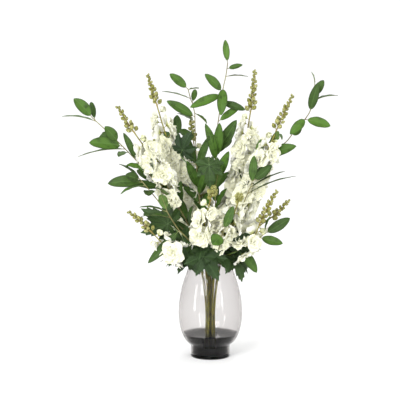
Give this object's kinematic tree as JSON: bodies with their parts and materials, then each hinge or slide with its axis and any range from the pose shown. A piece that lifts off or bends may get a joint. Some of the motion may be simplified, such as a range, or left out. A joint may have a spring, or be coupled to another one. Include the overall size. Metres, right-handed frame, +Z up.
{
  "type": "delphinium arrangement in a glass vase",
  "caption": "White delphinium stalks with long-leaved and jagged-leaved greenery, standing in clear set resin in a barrel-shaped glass vase.",
  "frame": {"origin": "on the vase's axis at the underside of its foot", "axes": "+Z up, +X to the right seen from the front, -Y to the front"},
  "size_m": [0.679, 0.4143, 0.793],
  "materials": {
    "clear_glass": "clear, glossy",
    "set_resin": "clear, smoky, glossy",
    "stem_plastic": "satin",
    "bud_plastic": "matte",
    "petal_cloth": "fine woven, matte",
    "long_leaf_cloth": "coated, satin",
    "jagged_leaf_cloth": "coated, matte"
  },
  "bodies": {
    "root": {"glass_vase": "clear_glass", "stalk_far_left_stem": "stem_plastic", "stalk_left_stem": "stem_plastic", "stalk_back_stem": "stem_plastic", "stalk_right_stem": "stem_plastic", "stalk_far_right_stem": "stem_plastic", "stalk_front_centre_stem": "stem_plastic", "stalk_front_right_stem": "stem_plastic", "stalk_back_left_stem": "stem_plastic", "stalk_back_right_stem": "stem_plastic", "shoot_lower_left_stem": "stem_plastic", "shoot_lower_right_stem": "stem_plastic", "shoot_right_stem": "stem_plastic", "stalk_far_left_buds": "bud_plastic", "stalk_left_buds": "bud_plastic", "stalk_back_buds": "bud_plastic", "stalk_right_buds": "bud_plastic", "stalk_far_right_buds": "bud_plastic", "stalk_front_centre_buds": "bud_plastic", "stalk_front_right_buds": "bud_plastic", "stalk_back_left_buds": "bud_plastic", "stalk_back_right_buds": "bud_plastic", "shoot_lower_left_buds": "bud_plastic", "shoot_lower_right_buds": "bud_plastic", "shoot_right_buds": "bud_plastic", "branch_left": "long_leaf_cloth", "branch_top_left": "long_leaf_cloth", "branch_top": "long_leaf_cloth", "branch_right": "long_leaf_cloth", "branch_back": "long_leaf_cloth", "sprig_left": "long_leaf_cloth", "sprig_right": "long_leaf_cloth", "sprig_lower_left": "long_leaf_cloth", "sprig_front": "long_leaf_cloth", "sprig_lower_right": "long_leaf_cloth", "palm_leaf_front": "jagged_leaf_cloth", "palm_leaf_front_left": "jagged_leaf_cloth", "palm_leaf_left": "jagged_leaf_cloth", "palm_leaf_front_right": "jagged_leaf_cloth", "palm_leaf_lower_right": "jagged_leaf_cloth", "palm_leaf_centre": "jagged_leaf_cloth", "palm_leaf_upper_left": "jagged_leaf_cloth", "palm_leaf_side_left": "jagged_leaf_cloth", "palm_leaf_side_right": "jagged_leaf_cloth", "palm_leaf_back": "jagged_leaf_cloth", "palm_leaf_back_left": "jagged_leaf_cloth", "palm_leaf_back_right": "jagged_leaf_cloth", "stalk_far_left_florets": "petal_cloth", "stalk_left_florets": "petal_cloth", "stalk_back_florets": "petal_cloth", "stalk_right_florets": "petal_cloth", "stalk_far_right_florets": "petal_cloth", "stalk_front_centre_florets": "petal_cloth", "stalk_front_right_florets": "petal_cloth", "stalk_back_left_florets": "petal_cloth", "stalk_back_right_florets": "petal_cloth", "shoot_lower_left_florets": "petal_cloth", "shoot_lower_right_florets": "petal_cloth", "shoot_right_florets": "petal_cloth", "faux_water": "set_resin"}
  },
  "joints": []
}
